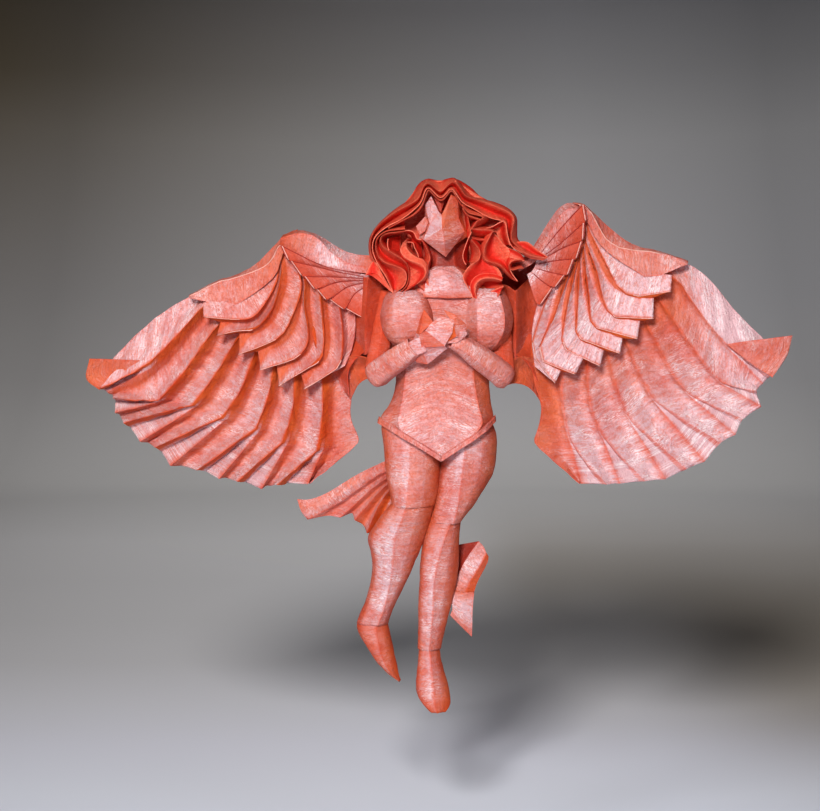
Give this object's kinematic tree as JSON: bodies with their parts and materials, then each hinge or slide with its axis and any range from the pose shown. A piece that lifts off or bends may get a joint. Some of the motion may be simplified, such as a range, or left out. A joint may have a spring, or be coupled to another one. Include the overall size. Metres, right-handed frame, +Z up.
{
  "type": "origami angel",
  "caption": "Hovering winged figure folded from pearly coral paper, with crossed arms, waved hair, pleated feather wings and blown ribbons.",
  "frame": {"origin": "lowest edge of the straight leg's toe, where the stand's wire holds the figure", "axes": "+Z up through the figure, -Y the way the figure faces, +X along the wings to the viewer's right"},
  "size_m": [0.2652, 0.0383, 0.199],
  "materials": {
    "folded_paper": null
  },
  "bodies": {
    "root": {"folded_angel": "folded_paper"}
  },
  "joints": []
}
